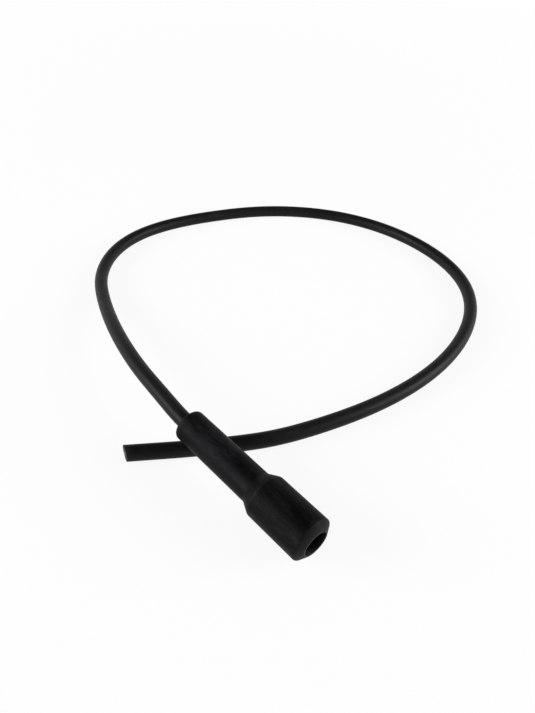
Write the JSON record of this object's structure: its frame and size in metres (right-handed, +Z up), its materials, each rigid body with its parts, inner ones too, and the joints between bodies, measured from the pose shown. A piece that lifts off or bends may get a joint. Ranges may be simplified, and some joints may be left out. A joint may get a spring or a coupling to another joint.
{
  "type": "spark plug cap",
  "caption": "Straight rubber spark plug cap with a stepped, ribbed bore, a snap terminal inside and a looped ignition lead that ends in a bare cut.",
  "frame": {"origin": "on the surface that the cap lies on, under the middle of the cap's own box, without the lead", "axes": "+X along the cap in plan, towards its mouth for the plug; +Z up; the lead's loop lies towards +Y"},
  "size_m": [0.2426, 0.2516, 0.0216],
  "materials": {
    "boot_rubber": "matte moulded black rubber",
    "lead_rubber": "satin extruded black rubber",
    "plated_brass": "plated sheet",
    "spring_steel": "bright drawn wire",
    "tinned_copper": "dull stranded wire"
  },
  "bodies": {
    "root": {"boot": "boot_rubber", "terminal": "plated_brass", "snap_ring": "spring_steel", "lead_insulation": "lead_rubber", "lead_conductor": "tinned_copper"}
  },
  "joints": []
}
